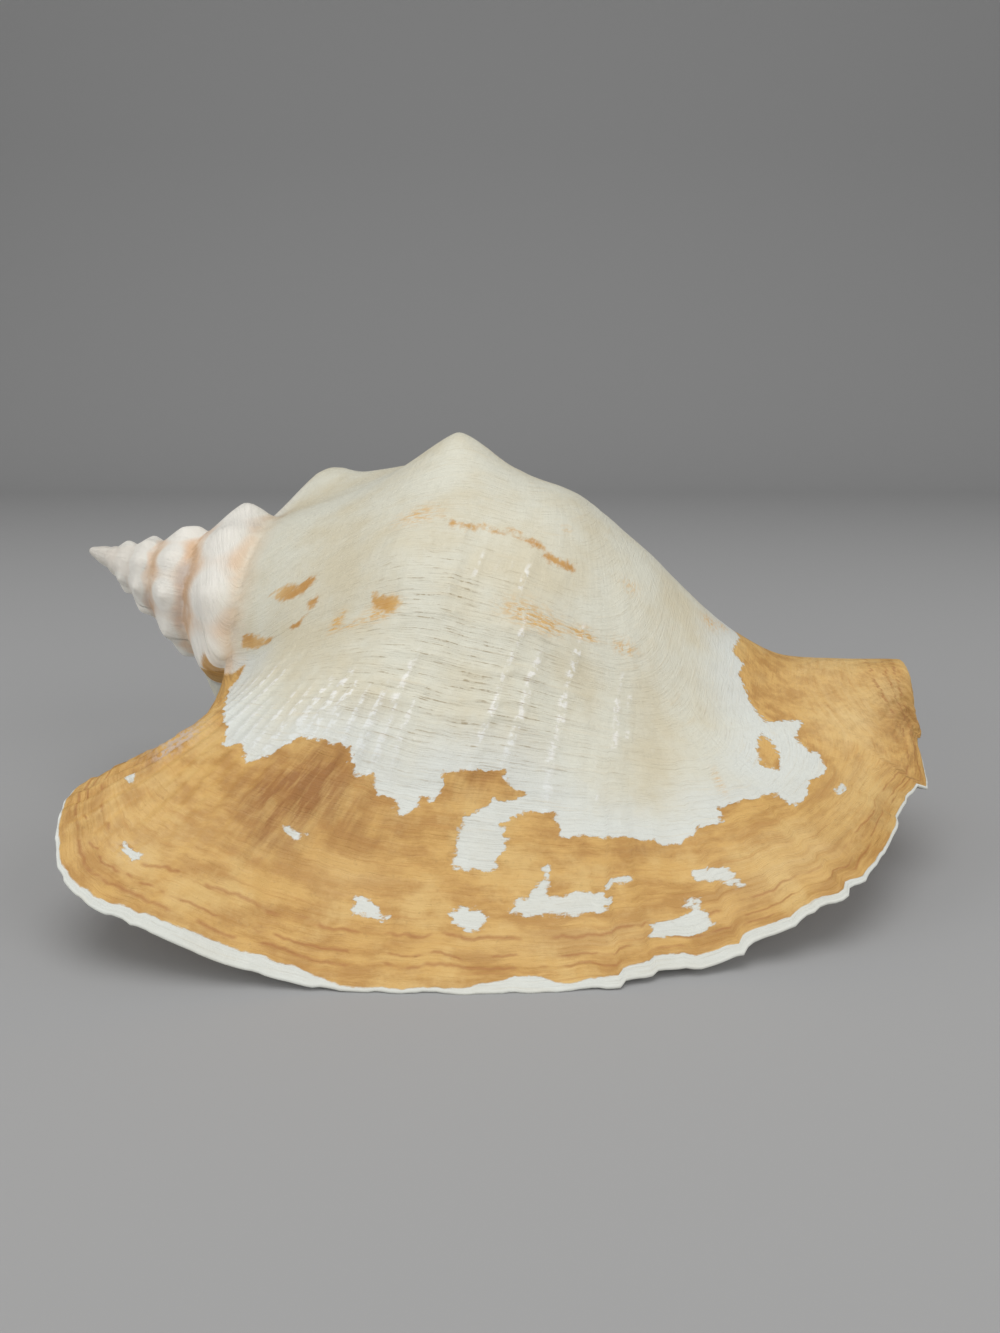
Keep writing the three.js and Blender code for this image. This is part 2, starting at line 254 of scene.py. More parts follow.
def shoulder_radius(turn):
    """Radius of the outer wall at the shoulder."""
    at = shoulder_at(turn)
    size = SHOULDER_AT * grown(turn)
    spiral = size * (spiral_width(turn) + 0.083 * (np.minimum(at / size, 1.24) - 1))
    return with_last_whorl(spiral, at, turn)


def whorl_radius(station, turn):
    """Radius of one whorl: a ramp from its suture up to the shoulder, then its outline."""
    turn = np.broadcast_to(turn, np.broadcast(station, turn).shape)
    rise = (shoulder_radius(turn) - suture_radius(turn)) / (shoulder_at(turn) - suture_at(turn))
    ramp = suture_radius(turn) + rise * (station - suture_at(turn))
    smooth = soft_min(ramp, outline(station, turn), 6 * grown(np.minimum(turn, 0)))
    under = 5.5 * np.exp(-(((station - 100) / 30) ** 2) - ((turn + 0.44) / 0.11) ** 2)
    return smooth + knob_height(station, turn) + under


print("last whorl's shoulder radius", round(float(shoulder_radius(np.array(0.0))), 1), "mm")


# %% The whole spiral
def radius(station, turn):
    """Outermost radius of this whorl and all the earlier ones at the same side of the axis."""
    r = soft_max(columella(station), whorl_radius(station, turn), 0.8)
    for k in range(1, WHORLS):
        r = np.maximum(r, whorl_radius(station, turn - k))
    return r


def outwards(turn):
    """Direction away from the axis: the sine of the turn to the lip's side, its cosine upwards."""
    angle = 2 * np.pi * np.asarray(turn)[..., None]
    return LIPWARD * np.sin(angle) + SKYWARD * np.cos(angle)


def place(station, turn, r):
    """Point at a radius from the axis, which sags a little in the spire and rises with the canal."""
    axis = APEX + ALONG * station[..., None] + SKYWARD * axis_rise(station)[..., None]
    return axis + outwards(turn) * r[..., None]


print("radius at the crest", round(float(radius(np.array(97.0), np.array(0.012))), 1), "mm")

# %% [markdown]
# ## The lip
#
# Each row of the lip leaves the last whorl along the direction of growth and is drawn out in a
# smooth curve to the adult edge. The edge is a free line in space: high at the back wing, on
# the table along the front, and rising again to the notch by the canal. Its rim is broken in
# small steps, because the wall chips along its growth lines and cords.

# %% The edge of the lip
# station, edge point, direction in which the surface runs out, turn where it leaves, two pulls
LIP = np.array([
    [55, -73, -21, 35.5, 0, -0.8, -0.8, 0.31, 0.9, 0.4],
    [57, -75.5, -32, 31.5, -0.4, -0.9, -0.3, 0.3, 0.9, 0.5],
    [60, -80.5, -47, 29.3, -0.6, -0.8, -0.1, 0.29, 0.9, 0.7],
    [65, -87.8, -58, 29.2, -0.7, -0.7, -0.1, 0.27, 0.9, 0.8],
    [71, -92, -69, 28.2, -0.7, -0.7, -0.1, 0.24, 0.8, 0.8],
    [78, -91.2, -77, 26.5, -0.7, -0.8, -0.2, 0.215, 0.8, 0.8],
    [86, -88.7, -85.5, 21, -0.6, -0.8, -0.3, 0.195, 0.8, 0.9],
    [94, -81.5, -92, 16.5, -0.5, -0.8, -0.35, 0.18, 0.8, 0.9],
    [103, -68, -96.8, 12.5, -0.35, -0.8, -0.35, 0.17, 0.8, 0.9],
    [113, -50, -99, 6, -0.2, -0.8, -0.35, 0.165, 0.8, 0.9],
    [123, -31, -100.8, 2.4, -0.1, -0.8, -0.35, 0.165, 0.8, 0.9],
    [133, -12, -101.8, 2, 0, -0.8, -0.35, 0.165, 0.8, 0.9],
    [143, 6, -101.3, 2, 0, -0.8, -0.35, 0.165, 0.8, 0.9],
    [152, 23, -100, 2.5, 0.1, -0.8, -0.35, 0.165, 0.8, 0.9],
    [161, 40, -95.3, 3.5, 0.2, -0.8, -0.35, 0.165, 0.8, 0.9],
    [170, 57, -90, 8.5, 0.3, -0.8, -0.35, 0.165, 0.8, 0.8],
    [178, 73, -82, 13.5, 0.45, -0.8, -0.3, 0.165, 0.8, 0.8],
    [186, 84, -70, 17, 0.55, -0.75, -0.3, 0.15, 0.8, 0.8],
    [194, 93, -57, 20, 0.65, -0.7, -0.3, 0.12, 0.8, 0.8],
    [202, 102.5, -46, 22.3, 0.7, -0.6, -0.35, 0.085, 0.9, 0.8],
    [209, 104.2, -39.5, 24.4, 0.6, -0.55, -0.5, 0.06, 1.0, 0.7],
    [216, 105.6, -33, 28, 0.4, -0.5, -0.75, 0.05, 1.0, 0.6],
    [224, 106.5, -30, 29.5, 0.3, -0.4, -0.85, 0.05, 1.0, 0.6],
])
LIP[:, 1:4] += STAND
lip_curves = [curve(LIP[:, 0], LIP[:, i]) for i in range(1, 10)]
cavity_reach = curve([55, 62, 185, 205, 216, 224], [1, 1, 1, 0.6, 0.35, 0.2])


def lip_at(station):
    """Edge point, direction there, leaving turn and the two pulls at a station."""
    at = np.clip(station, LIP_START, AXIS_LENGTH)
    values = [f(at) for f in lip_curves]
    direction = unit(np.stack(values[3:6], -1))
    edge = np.stack(values[:3], -1)
    return edge, direction, values[6], values[7], values[8]


edge_line = lip_at(np.linspace(LIP_START, AXIS_LENGTH, 200))[0]
edge_length = np.linalg.norm(np.diff(edge_line, axis=0), axis=1).sum()
print("edge of the lip", round(float(edge_length)), "mm long")

# %% Small chips and larger breaks in the rim
RIM_KNOTS = 96
rim_chips = np.random.default_rng(7).random(RIM_KNOTS) ** 1.5
CHIP_DEPTH = ([60, 100, 150, 165, 200, 224], [0.4, 0.5, 0.6, 0.8, 0.6, 0.1])

# stations where a piece is broken out, and how much is missing at both ends, in millimetres
BREAKS = [
    (98, 100.5, 0.3, 0.6), (131, 133.5, 0.5, 0.5), (146, 150, 0.2, 0.6), (152.5, 156, 1.0, 1.3),
    (156, 160, 1.7, 1.0), (165.8, 171.6, 1.6, 0.1), (171.8, 176, 1.6, 0.1), (177.6, 179.6, 1.2, 0.3),
    (184, 186, 0.7, 0.2), (191.5, 201.3, 1.2, 2.8),
]


def ragged(station):
    """Steps in the rim, in millimetres: small chips all along it and larger pieces broken out."""
    knots = np.linspace(LIP_START, AXIS_LENGTH, RIM_KNOTS)
    depths = rim_chips * np.interp(knots, *CHIP_DEPTH)
    cell = np.clip(np.searchsorted(knots, station) - 1, 0, len(knots) - 2)
    t = (station - knots[cell]) / (knots[1] - knots[0])
    depth = depths[cell] + (depths[cell + 1] - depths[cell]) * ease(0.3, 0.7, t)
    for start, end, first, last in BREAKS:
        missing = first + (last - first) * (station - start) / (end - start)
        depth = depth + missing * window(start, end, 0.35, station)
    return -depth


deepest = -ragged(np.linspace(LIP_START, AXIS_LENGTH, 400)).min()
print("deepest break in the rim", round(float(deepest), 1), "mm")

# %% Outer surface from the whorl to the rim
RIM_BEND = 1.4
EDGE_OUT = 0.6


def under_rim(station):
    """Direction out of the underside at the rim: across both the rim and the way out to it."""
    ahead = lip_at(np.minimum(station + 0.5, AXIS_LENGTH))[0]
    behind = lip_at(np.maximum(station - 0.5, LIP_START))[0]
    return unit(np.cross(ahead - behind, lip_at(station)[1]))


def outer_surface(station, way):
    """Outer surface, way 0 at the rim, 0.5 where the lip meets the whorl, 1 over the top."""
    edge, direction, leaves, pull_whorl, pull_edge = lip_at(station)
    edge = edge + direction * (EDGE_OUT + ragged(station) * ease(LIP_START, 62, station))[..., None]
    edge = edge + under_rim(station) * (RIM_BEND * ease(72, 88, station))[..., None]
    foot = place(station, leaves, radius(station, leaves))
    ahead = place(station, leaves + 0.001, radius(station, leaves + 0.001))
    behind = place(station, leaves - 0.001, radius(station, leaves - 0.001))
    reach = np.linalg.norm(edge - foot, axis=-1)
    leave = unit(ahead - behind) * (reach * pull_whorl)[..., None]
    arrive = direction * (reach * pull_edge)[..., None]
    out = np.clip(1 - 2 * way, 0, 1)[..., None]
    lip = hermite(out, foot, leave, edge, arrive)
    turn = leaves + (CAVITY_END_TURN - leaves) * np.clip(2 * way - 1, 0, 1)
    whorl = place(station, turn, radius(station, turn))
    return np.where((way > 0.5)[..., None], whorl, lip)


def inward_direction(station, way):
    """Direction from the outer face into the wall: under the lip, towards the axis elsewhere."""
    leaves = lip_at(station)[2]
    under = under_rim(station)
    flare = ease(0, 1, np.clip(1 - 2 * way, 0, 1))[..., None]
    turn = leaves + (CAVITY_END_TURN - leaves) * np.clip(2 * way - 1, 0, 1)
    return unit(under * flare - outwards(turn) * (1 - flare))


front_rim = outer_surface(np.array([143.0]), np.array([0.0]))[0]
print("rim at the front", front_rim.round(1))

# %% [markdown]
# ## One closed surface
#
# A real shell wall has no seam between outside and inside: it folds over at the rim and goes
# back in. The grid does the same. Each row starts at the rim, runs over the lip, round the body
# whorl, into the cavity along the earlier whorl, and back under the lip. On the spire a row is
# a plain ring. Where the lip begins, the two sides of the cavity meet in one line, so the same
# points serve both and the surface stays closed.

# %% Size of the grid
SPIRE_ROWS = 84
LIP_ROWS = 240
LIP_COLUMNS = 126
WHORL_COLUMNS = 110
CAVITY_COLUMNS = 26
RIM_ANGLES = np.radians([135.0, 90.0, 45.0])
EDGE_THICKNESS = 0.8
WHORL_THICKNESS = 5.2
GROWTH_ON_LIP = 90.0
GROWTH_PER_ROUND = 314.0


def growth_of(way, turn, leaves):
    """Age of a place as millimetres back from the rim: even over the lip, then by the turn."""
    on_lip = GROWTH_ON_LIP * 2 * np.minimum(way, 0.5)
    return on_lip + GROWTH_PER_ROUND * np.maximum(leaves - turn, 0) * (way >= 0.5)


print("a loop of the lip has", LIP_COLUMNS + WHORL_COLUMNS + 2 * CAVITY_COLUMNS, "steps")

# %% [markdown]
# ## Relief of the outside
#
# Cords run along the coil and growth lines cross them. Both are low, so they are added to the
# smooth form as a height in millimetres, along the direction out of the wall. On the wing the
# cords are close and strong, because that part of the mantle was folded.

# %% Smooth noise
NOISE_KNOTS = 2048


def value_noise(x, seed):
    """Smooth random heights from -1 to 1, one knot per unit of x."""
    knots = np.random.default_rng(seed).random(NOISE_KNOTS) * 2 - 1
    cell = np.floor(x).astype(int)
    t = ease(0, 1, x - cell)
    return knots[cell % NOISE_KNOTS] * (1 - t) + knots[(cell + 1) % NOISE_KNOTS] * t


print("noise at 0.5:", round(float(value_noise(np.array(0.5), 3)), 2))

# %% Cords along the coil
# station, first and last age, height in millimetres of the cords that stand out
CORDS = [
    (97.5, 45, 66, 0.3), (100.2, 44, 68, 0.35), (102.8, 45, 62, 0.3), (111.5, 42, 98, 0.25),
    (116, 92, 101, 0.2), (119.6, 93, 101, 0.32), (123, 93, 101, 0.32), (126.4, 92, 101, 0.34),
    (129.8, 48, 92, 0.5), (135.3, 46, 80, 0.42), (142.6, 40, 92, 0.55), (150.6, 44, 58, 0.3),
    (153.6, 57, 82, 0.42), (156.4, 60, 80, 0.34), (161.5, 55, 82, 0.22), (168, 50, 75, 0.2),
]


def repeating(x, spacing):
    """Wave between 0 and 1 with one crest for each spacing."""
    return 0.5 + 0.5 * np.cos(2 * np.pi * x / spacing)


def cords(station, growth):
    """Cords along the coil: faint even ones, those that stand out, and close ridges on the left."""
    sway = 0.8 * value_noise(growth / 31, 3) + 0.35 * value_noise(growth / 9, 4)
    patchy = 0.55 + 0.45 * value_noise(growth / 13 + station / 5, 14)
    even = repeating(station + sway + 1.5 * value_noise(station / 9, 13), 6.4) ** 3
    height = 0.16 * even * patchy * window(96, 178, 12, station)
    for at, young, old, tall in CORDS:
        across = np.exp(-(((station + sway - at) / 0.85) ** 2))
        broken = 0.65 + 0.35 * value_noise(growth / 2.7 + at, 15)
        height = height + tall * across * broken * window(young, old, 3, growth)
    slant = station + 0.16 * (growth - 45) + 0.4 * sway
    shoulder = 0.48 * repeating(slant, 3.1) ** 2
    shoulder = shoulder * window(86, 118, 7, station) * window(14, 62, 12, growth)
    wing = 0.6 * (2 * repeating(station + 0.7 * sway, 4.3) - 1)
    wing = wing * window(60, 84, 6, station) * (1 - ease(55, 85, growth))
    return height * (1 - ease(100, 125, growth)) + shoulder + wing


print(len(CORDS), "cords stand out, the tallest", max(cord[3] for cord in CORDS), "mm")


# %% Growth lines, folds and dents
def lamellae(growth, wobble, width, seed):
    """Growth lines as low steps: a slow rise towards the rim that ends in a short drop."""
    x = (growth + wobble) / width
    step = np.floor(x).astype(int)
    phase = x - step
    tall = np.random.default_rng(seed).random(NOISE_KNOTS // 2)[step % (NOISE_KNOTS // 2)]
    return tall * (1 - phase) * ease(0, 0.18, phase)


def relief(station, growth):
    """Height of the cords and, where the wall isn't calm, of the growth lines that cross them."""
    wobble = 1.3 * value_noise(station / 7, 5) + 0.6 * value_noise(station / 2.3, 6)
    steps = 0.24 * lamellae(growth, wobble, 3.7, 7) + 0.4 * lamellae(growth, 2 * wobble, 11.3, 8)
    folds = 0.26 * value_noise((growth + 2 * wobble) / 9.0, 10)
    dents = 0.22 * value_noise((growth + 3 * station) / 8, 11)
    dents = dents * value_noise((growth - 2 * station) / 11, 12)
    calm = 1 - 0.6 * ease(95, 130, growth)
    calm = calm * (1 - 0.7 * window(55, 90, 12, station) * ease(50, 80, growth))
    strong = 1 + 0.9 * window(94, 142, 12, station) * window(50, 104, 12, growth)
    rim = 0.35 * lamellae(growth, wobble, 1.5, 9) * (1 - ease(5, 18, growth))
    return cords(station, growth) + calm * strong * (steps + folds + dents) + rim


print("relief at one place", round(float(relief(np.array(130.0), np.array(70.0))), 2), "mm")

# %% [markdown]
# ## Rows of points
#
# The rows are worked out as whole arrays: first the rings from the apex to the start of the lip,
# then the long loops from there to the end of the canal. A loop has four stretches, one cell for
# each, and the stretches are laid end to end in the cell after them.

# %% Rings of the spire
def spire_rows():
    """Rings with radius and relief: the first stretch matches the lip, the second goes round."""
    v = np.linspace(0, 1, SPIRE_ROWS + 1)[1:, None]
    station = LIP_START * (0.25 * v + 0.75 * v**1.5)
    leaves = lip_at(np.array(LIP_START))[2] - 0.14 * (1 - ease(38, LIP_START, station))
    first = np.linspace(0, 1, LIP_COLUMNS + 1)[None]
    second = np.linspace(0, 1, WHORL_COLUMNS + 1)[None, 1:-1]
    turn = np.concatenate([
        LIP_FOOT_TURN + (leaves - LIP_FOOT_TURN) * first,
        leaves + (PARIETAL_TURN - leaves) * second,
    ], axis=1)
    way = np.concatenate([0.5 * first, 0.5 + 0 * second], axis=1) + 0 * station
    growth = growth_of(way, turn, leaves)
    station = station + 0 * turn
    seam_start = ease(LIP_FOOT_TURN, LIP_FOOT_TURN - 0.05, turn)
    seam_end = ease(PARIETAL_TURN, PARIETAL_TURN + 0.12, turn)
    under_foot = (way < 0.5) * ease(50, LIP_START, station)
    lift = relief(station, growth) * ease(30, LIP_START, station) * seam_start * seam_end
    lift = lift * (1 - under_foot)
    points = place(station, turn, (radius(station, turn) + lift) * np.minimum(4 * station, 1))
    return points, station, growth, turn


ring_points, ring_station, ring_growth, ring_turn = spire_rows()
print("spire rings", ring_points.shape)

# %% Over the lip
row_share = np.linspace(0, 1, LIP_ROWS + 1)[:, None]
row_station = LIP_START + (AXIS_LENGTH - LIP_START) * (0.85 * row_share + 0.15 * row_share**2)
row_leaves = lip_at(row_station)[2]

lip_way = 0.5 * np.linspace(0, 1, LIP_COLUMNS + 1)[None] + 0 * row_station
lip_station = row_station + 0 * lip_way
lip_growth = growth_of(lip_way, 0 * lip_way, 0 * lip_way)
lip_lift = relief(lip_station, lip_growth) * ease(LIP_START, 58, lip_station)
lip_lift = lip_lift * (0.3 + 0.7 * ease(0, 5, lip_growth))
lip_inward = inward_direction(lip_station, lip_way)
over_lip = outer_surface(lip_station, lip_way) - lip_inward * lip_lift[..., None]
print("over the lip", over_lip.shape)

# %% Round the body whorl
body_share = np.linspace(0, 1, WHORL_COLUMNS + 1)[None, 1:]
body_turn = row_leaves + (PARIETAL_TURN - row_leaves) * body_share
body_station = row_station + 0 * body_turn
body_growth = growth_of(0.5 + 0 * body_turn, body_turn, row_leaves + 0 * body_turn)
body_lift = relief(body_station, body_growth) * ease(PARIETAL_TURN, PARIETAL_TURN + 0.12, body_turn)
round_body = place(body_station, body_turn, radius(body_station, body_turn) + body_lift)
print("round the body whorl", round_body.shape)

# %% Into the cavity along the earlier whorl
cavity_way = np.linspace(0, 1, CAVITY_COLUMNS + 1)[None] * cavity_reach(row_station)
cavity_station = row_station + 0 * cavity_way
cavity_turn = LIP_FOOT_TURN + (row_leaves - LIP_FOOT_TURN) * np.minimum(2 * cavity_way, 1)
cavity_turn = cavity_turn + (CAVITY_END_TURN - row_leaves) * np.maximum(2 * cavity_way - 1, 0)
seam_shift = 3.5 * ease(0, 0.3, cavity_way) * (1 - ease(62, 90, cavity_station))
seam_station = cavity_station + seam_shift
earlier_radius = radius(seam_station, cavity_turn - 1)
parietal = place(seam_station, cavity_turn, earlier_radius)
print("along the earlier whorl", parietal.shape)

# %% Back under the lip
wall_turn = np.where(cavity_way < 0.5, row_leaves + 0 * cavity_turn, cavity_turn)
gap = np.maximum(radius(seam_station, wall_turn) - WHORL_THICKNESS - earlier_radius, 0.4)
deep = place(seam_station, cavity_turn, earlier_radius + gap)
thickness = EDGE_THICKNESS + 1.6 * ease(0, 0.05, cavity_way) + 2.8 * ease(0.02, 0.35, cavity_way)
cavity_inward = inward_direction(cavity_station, cavity_way)
under_lip = outer_surface(cavity_station, cavity_way) + cavity_inward * thickness[..., None]
to_deep = ease(0.42, 0.62, cavity_way)[..., None]
opened = ease(LIP_START, 60, cavity_station)[..., None]
inner = parietal * (1 - opened) + (under_lip * (1 - to_deep) + deep * to_deep) * opened
print("under the lip", inner.shape)

# %% Fold of the rim
rim_middle = 0.5 * (over_lip[:, 0] + inner[:, 0])
rim_arm = over_lip[:, 0] - rim_middle
rim_out = lip_at(row_station[:, 0])[1] * np.linalg.norm(rim_arm, axis=-1, keepdims=True)
rim = rim_middle[:, None] + rim_arm[:, None] * np.cos(RIM_ANGLES)[None, :, None]
rim = rim + rim_out[:, None] * np.sin(RIM_ANGLES)[None, :, None]
print("rim", rim.shape)

# %% Lay the stretches end to end
cavity_cap = 0.5 * (parietal[:, -1:] + inner[:, -1:])
loop_points = np.concatenate(
    [over_lip, round_body, parietal[:, 1:], cavity_cap, inner[:, ::-1], rim], axis=1
)
on_rim = np.zeros((LIP_ROWS + 1, len(RIM_ANGLES)))
cavity_growth = GROWTH_ON_LIP * 2 * cavity_way
loop_growth = np.concatenate([
    lip_growth, body_growth, cavity_growth[:, 1:], cavity_growth[:, -1:], cavity_growth[:, ::-1],
    on_rim,
], axis=1)
loop_turn = np.concatenate([
    LIP_FOOT_TURN + 0 * lip_way, body_turn, cavity_turn[:, 1:] - 1, cavity_turn[:, -1:] - 0.5,
    cavity_turn[:, ::-1], LIP_FOOT_TURN + on_rim,
], axis=1)
# parts: 0 over the lip, 1 round the body, 2 along the earlier whorl, 3 under the lip, 4 the rim
loop_part = 0 * loop_growth + np.repeat(
    [0, 1, 2, 3, 4],
    [LIP_COLUMNS + 1, WHORL_COLUMNS, CAVITY_COLUMNS + 1, CAVITY_COLUMNS + 1, len(RIM_ANGLES)],
)
loop_station = row_station + 0 * loop_growth
print("lip loops", loop_points.shape)

# %% [markdown]
# ## Joining the rows
#
# The rows become one mesh: the first loop of the lip reuses the last ring of the spire, and its
# two cavity sides are the same points. The canal's end is closed by a few loops that shrink to a
# point. Where two corners of a four-sided face are the same point, the face becomes a triangle.

# %% Round off the end of the canal
END_SIZES = np.array([0.95, 0.82, 0.6, 0.3])
END_STEPS = np.array([1.1, 2.1, 2.9, 3.3])


def drawn_in(last):
    """Copies of the last loop, or of its values, that close in on their mean."""
    sizes = END_SIZES.reshape(-1, *[1] * last.ndim)
    return last.mean(axis=0) + (last - last.mean(axis=0)) * sizes


def rounded_end(last):
    """Last loop drawn in to its centre in steps along the axis."""
    return drawn_in(last) + ALONG * END_STEPS[:, None, None]


end_points = rounded_end(loop_points[-1])
end_rows = len(end_points)
print("loops that close the canal", end_points.shape)

# %% Number the points and make the faces
ring_count, ring_width = ring_points.shape[:2]
loop_width = loop_points.shape[1]
ring_numbers = 1 + np.arange(ring_count * ring_width).reshape(ring_count, ring_width)
seam_numbers = ring_numbers[-1, -1] + 1 + np.arange(CAVITY_COLUMNS)
first_loop = np.concatenate([
    ring_numbers[-1], ring_numbers[-1, :1], seam_numbers, seam_numbers[-1:],
    seam_numbers[::-1], np.repeat(ring_numbers[-1, 0], 1 + len(RIM_ANGLES)),
])
later = seam_numbers[-1] + 1 + np.arange((LIP_ROWS + end_rows) * loop_width)
end_point_number = later[-1] + 1
loop_numbers = np.concatenate([
    first_loop[None], later.reshape(-1, loop_width), np.full((1, loop_width), end_point_number),
])
ring_numbers = np.concatenate([np.zeros((1, ring_width), int), ring_numbers])


def faces_between(numbers):
    """Four-sided faces between each row of point numbers and the next, closed round."""
    round_next = np.roll(numbers, -1, axis=1)
    corners = [numbers[:-1], numbers[1:], round_next[1:], round_next[:-1]]
    return np.stack([c.ravel() for c in corners], axis=-1)


quads = np.concatenate([faces_between(ring_numbers), faces_between(loop_numbers)])
doubled = quads == np.roll(quads, -1, axis=1)
whole = quads[~doubled.any(axis=1)]
single = doubled.sum(axis=1) == 1
kept_corners = ~doubled[single]
triangles = quads[single][kept_corners].reshape(-1, 3)
print(len(whole), "four-sided faces and", len(triangles), "triangles")


# %% Put points and values in order
def one_list(rings, seam, loops, end):
    """Values of the apex, the rings, the seam, the loops and the end point, in number order."""
    tail = rings.shape[2:]
    return np.concatenate([
        rings[:1, :1].reshape(-1, *tail), rings.reshape(-1, *tail), seam,
        loops.reshape(-1, *tail), np.reshape(end, (1, *tail)),
    ])


seam_start = LIP_COLUMNS + 1 + WHORL_COLUMNS
seam_slice = slice(seam_start, seam_start + CAVITY_COLUMNS)


def listed(rings, loops, end_loops, end):
    """Values in number order, with those of the loops that close the canal."""
    return one_list(rings, loops[0, seam_slice], np.concatenate([loops[1:], end_loops]), end)


def with_same_end(rings, loops):
    """Values in number order: the canal's end repeats those of the last loop."""
    return listed(rings, loops, np.repeat(loops[-1:], end_rows, axis=0), loops[-1, 0])


canal_tip = end_points[-1].mean(axis=0) + 0.2 * ALONG
positions = listed(ring_points, loop_points, end_points, canal_tip)
positions[0] = APEX
positions[:, 2] = np.maximum(positions[:, 2], 0)

# ages close in on their mean at the canal's end, so that no lines meet in its middle
growth_list = listed(ring_growth, loop_growth, drawn_in(loop_growth[-1]), loop_growth[-1].mean())
station_list = with_same_end(ring_station, loop_station)
part_list = with_same_end(ring_growth * 0 + 1, loop_part)
turn_list = with_same_end(ring_turn, loop_turn)
print("points", len(positions), "lowest", positions.min(axis=0), "highest", positions.max(axis=0))


# %% Build the shell
def build_mesh(name, points, faces):
    """Smooth-shaded mesh from points in metres and lists of corner numbers."""
    mesh = bpy.data.meshes.new(name)
    mesh.from_pydata(points.tolist(), [], faces)
    mesh.polygons.foreach_set("use_smooth", np.ones(len(mesh.polygons), bool))
    mesh.validate()
    mesh.update()
    return mesh


shell_mesh = build_mesh("conch", positions / 1000, whole.tolist() + triangles.tolist())
conch = bpy.data.objects.new("conch", shell_mesh)
bpy.context.scene.collection.objects.link(conch)
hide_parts("shell")
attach(conch, "root")
print("mesh of the shell:", len(shell_mesh.vertices), "points,", len(shell_mesh.polygons), "faces")

# %% [markdown]
# ## Marks on the shell
#
# The living shell wears a thin tan skin. On this old one it has scaled off the back and in chips
# near the rim, and rust-coloured remains are left on the white. Each mark is an outline drawn in the
# shell's own two numbers, station and age. The mesh carries the distance to the
# outlines, and the finish breaks the edge up at a finer scale than the points.

# %% Distance to an outline
def depth_inside(outline_points, x, y):
    """Distance in millimetres to a closed outline: positive inside it and negative outside."""
    corners = np.array(outline_points, float)
    nearest = np.full(x.shape, 1e9)
    inside = np.zeros(x.shape, bool)
    for (x0, y0), (x1, y1) in zip(corners, np.roll(corners, -1, axis=0)):
        along, up = x1 - x0, y1 - y0
        t = np.clip(((x - x0) * along + (y - y0) * up) / (along**2 + up**2), 0, 1)
        nearest = np.minimum(nearest, np.hypot(x - x0 - t * along, y - y0 - t * up))
        crosses = (y0 > y) != (y1 > y)
        at = x0 + (y - y0) * along / (up if up else 1e-9)
        inside ^= crosses & (x < at)
    return np.where(inside, nearest, -nearest)


def deepest_of(outlines):
    """Depth inside the nearest of several outlines, at every point of the mesh."""
    depth = np.full(station_list.shape, -1e9)
    for points in outlines:
        depth = np.maximum(depth, depth_inside(points, station_list, growth_list))
    return depth


def soft_spots(spots):
    """Sum of spots: a strength at a station and an age, which fades over a width along each."""
    total = np.zeros(station_list.shape)
    for strength, at, age_at, wide, tall in spots:
        off = ((station_list - at) / wide) ** 2 + ((growth_list - age_at) / tall) ** 2
        total += strength * np.exp(-off)
    return total


square = [(0, 0), (2, 0), (2, 2), (0, 2)]
print("depth in the middle of a square:", depth_inside(square, np.array([1.0]), np.array([1.0])))

# %% Where the tan skin is gone
BARE_BACK = [
    (-5, -10), (44, -10), (50, 40), (56, 62), (61.8, 80), (62.4, 71), (61, 62.7), (66.8, 58),
    (71.4, 54), (78.6, 49), (83.2, 46.4), (86.8, 42.3), (90.5, 44.5), (95, 40.5), (97.7, 43.2),
    (100.5, 48.2), (109.5, 48.6), (113.2, 43.6), (115.5, 45), (117.7, 41.4), (120, 41.4),
    (121.8, 38.2), (123.2, 39.5), (124.1, 42.7), (125.9, 41.4), (126.4, 45.5), (125.5, 48.2),
    (135, 50), (135.9, 47.3), (139.1, 45.9), (137.7, 44.1), (135, 44.1), (133.6, 41.4),
    (131.4, 39.5), (131.4, 33.6), (132.3, 28.2), (137.3, 28.6), (138.2, 35.5), (136.8, 38.6),
    (139.5, 41.8), (144.1, 42.3), (145.5, 36.8), (150.5, 37.3), (156.8, 35.9), (162.7, 34.1),
    (166.8, 37.3), (170, 38.2), (170.5, 42.7), (175, 43), (180, 42.5), (180.6, 36.5),
    (181.5, 34.6), (183.5, 34.6), (187, 39.5), (190, 37.5), (191.6, 39.5), (192.6, 44.1),
    (191, 52), (191.3, 57.3), (194.5, 61.6), (193.9, 63.9), (190.9, 68.2), (188.4, 69.5),
    (187, 75.8), (185, 87), (183.7, 93.6), (181.7, 101), (182.7, 108), (179.2, 114),
    (180, 123), (181, 132), (179, 150), (184, 158), (183, 167), (190, 176), (191, 186), (184, 192),
    (186, 204), (179, 212), (181, 226), (174, 238), (178, 252), (172, 266), (175, 280), (166, 300),
    (150, 345), (110, 352), (70, 360), (40, 420), (-5, 420),
]
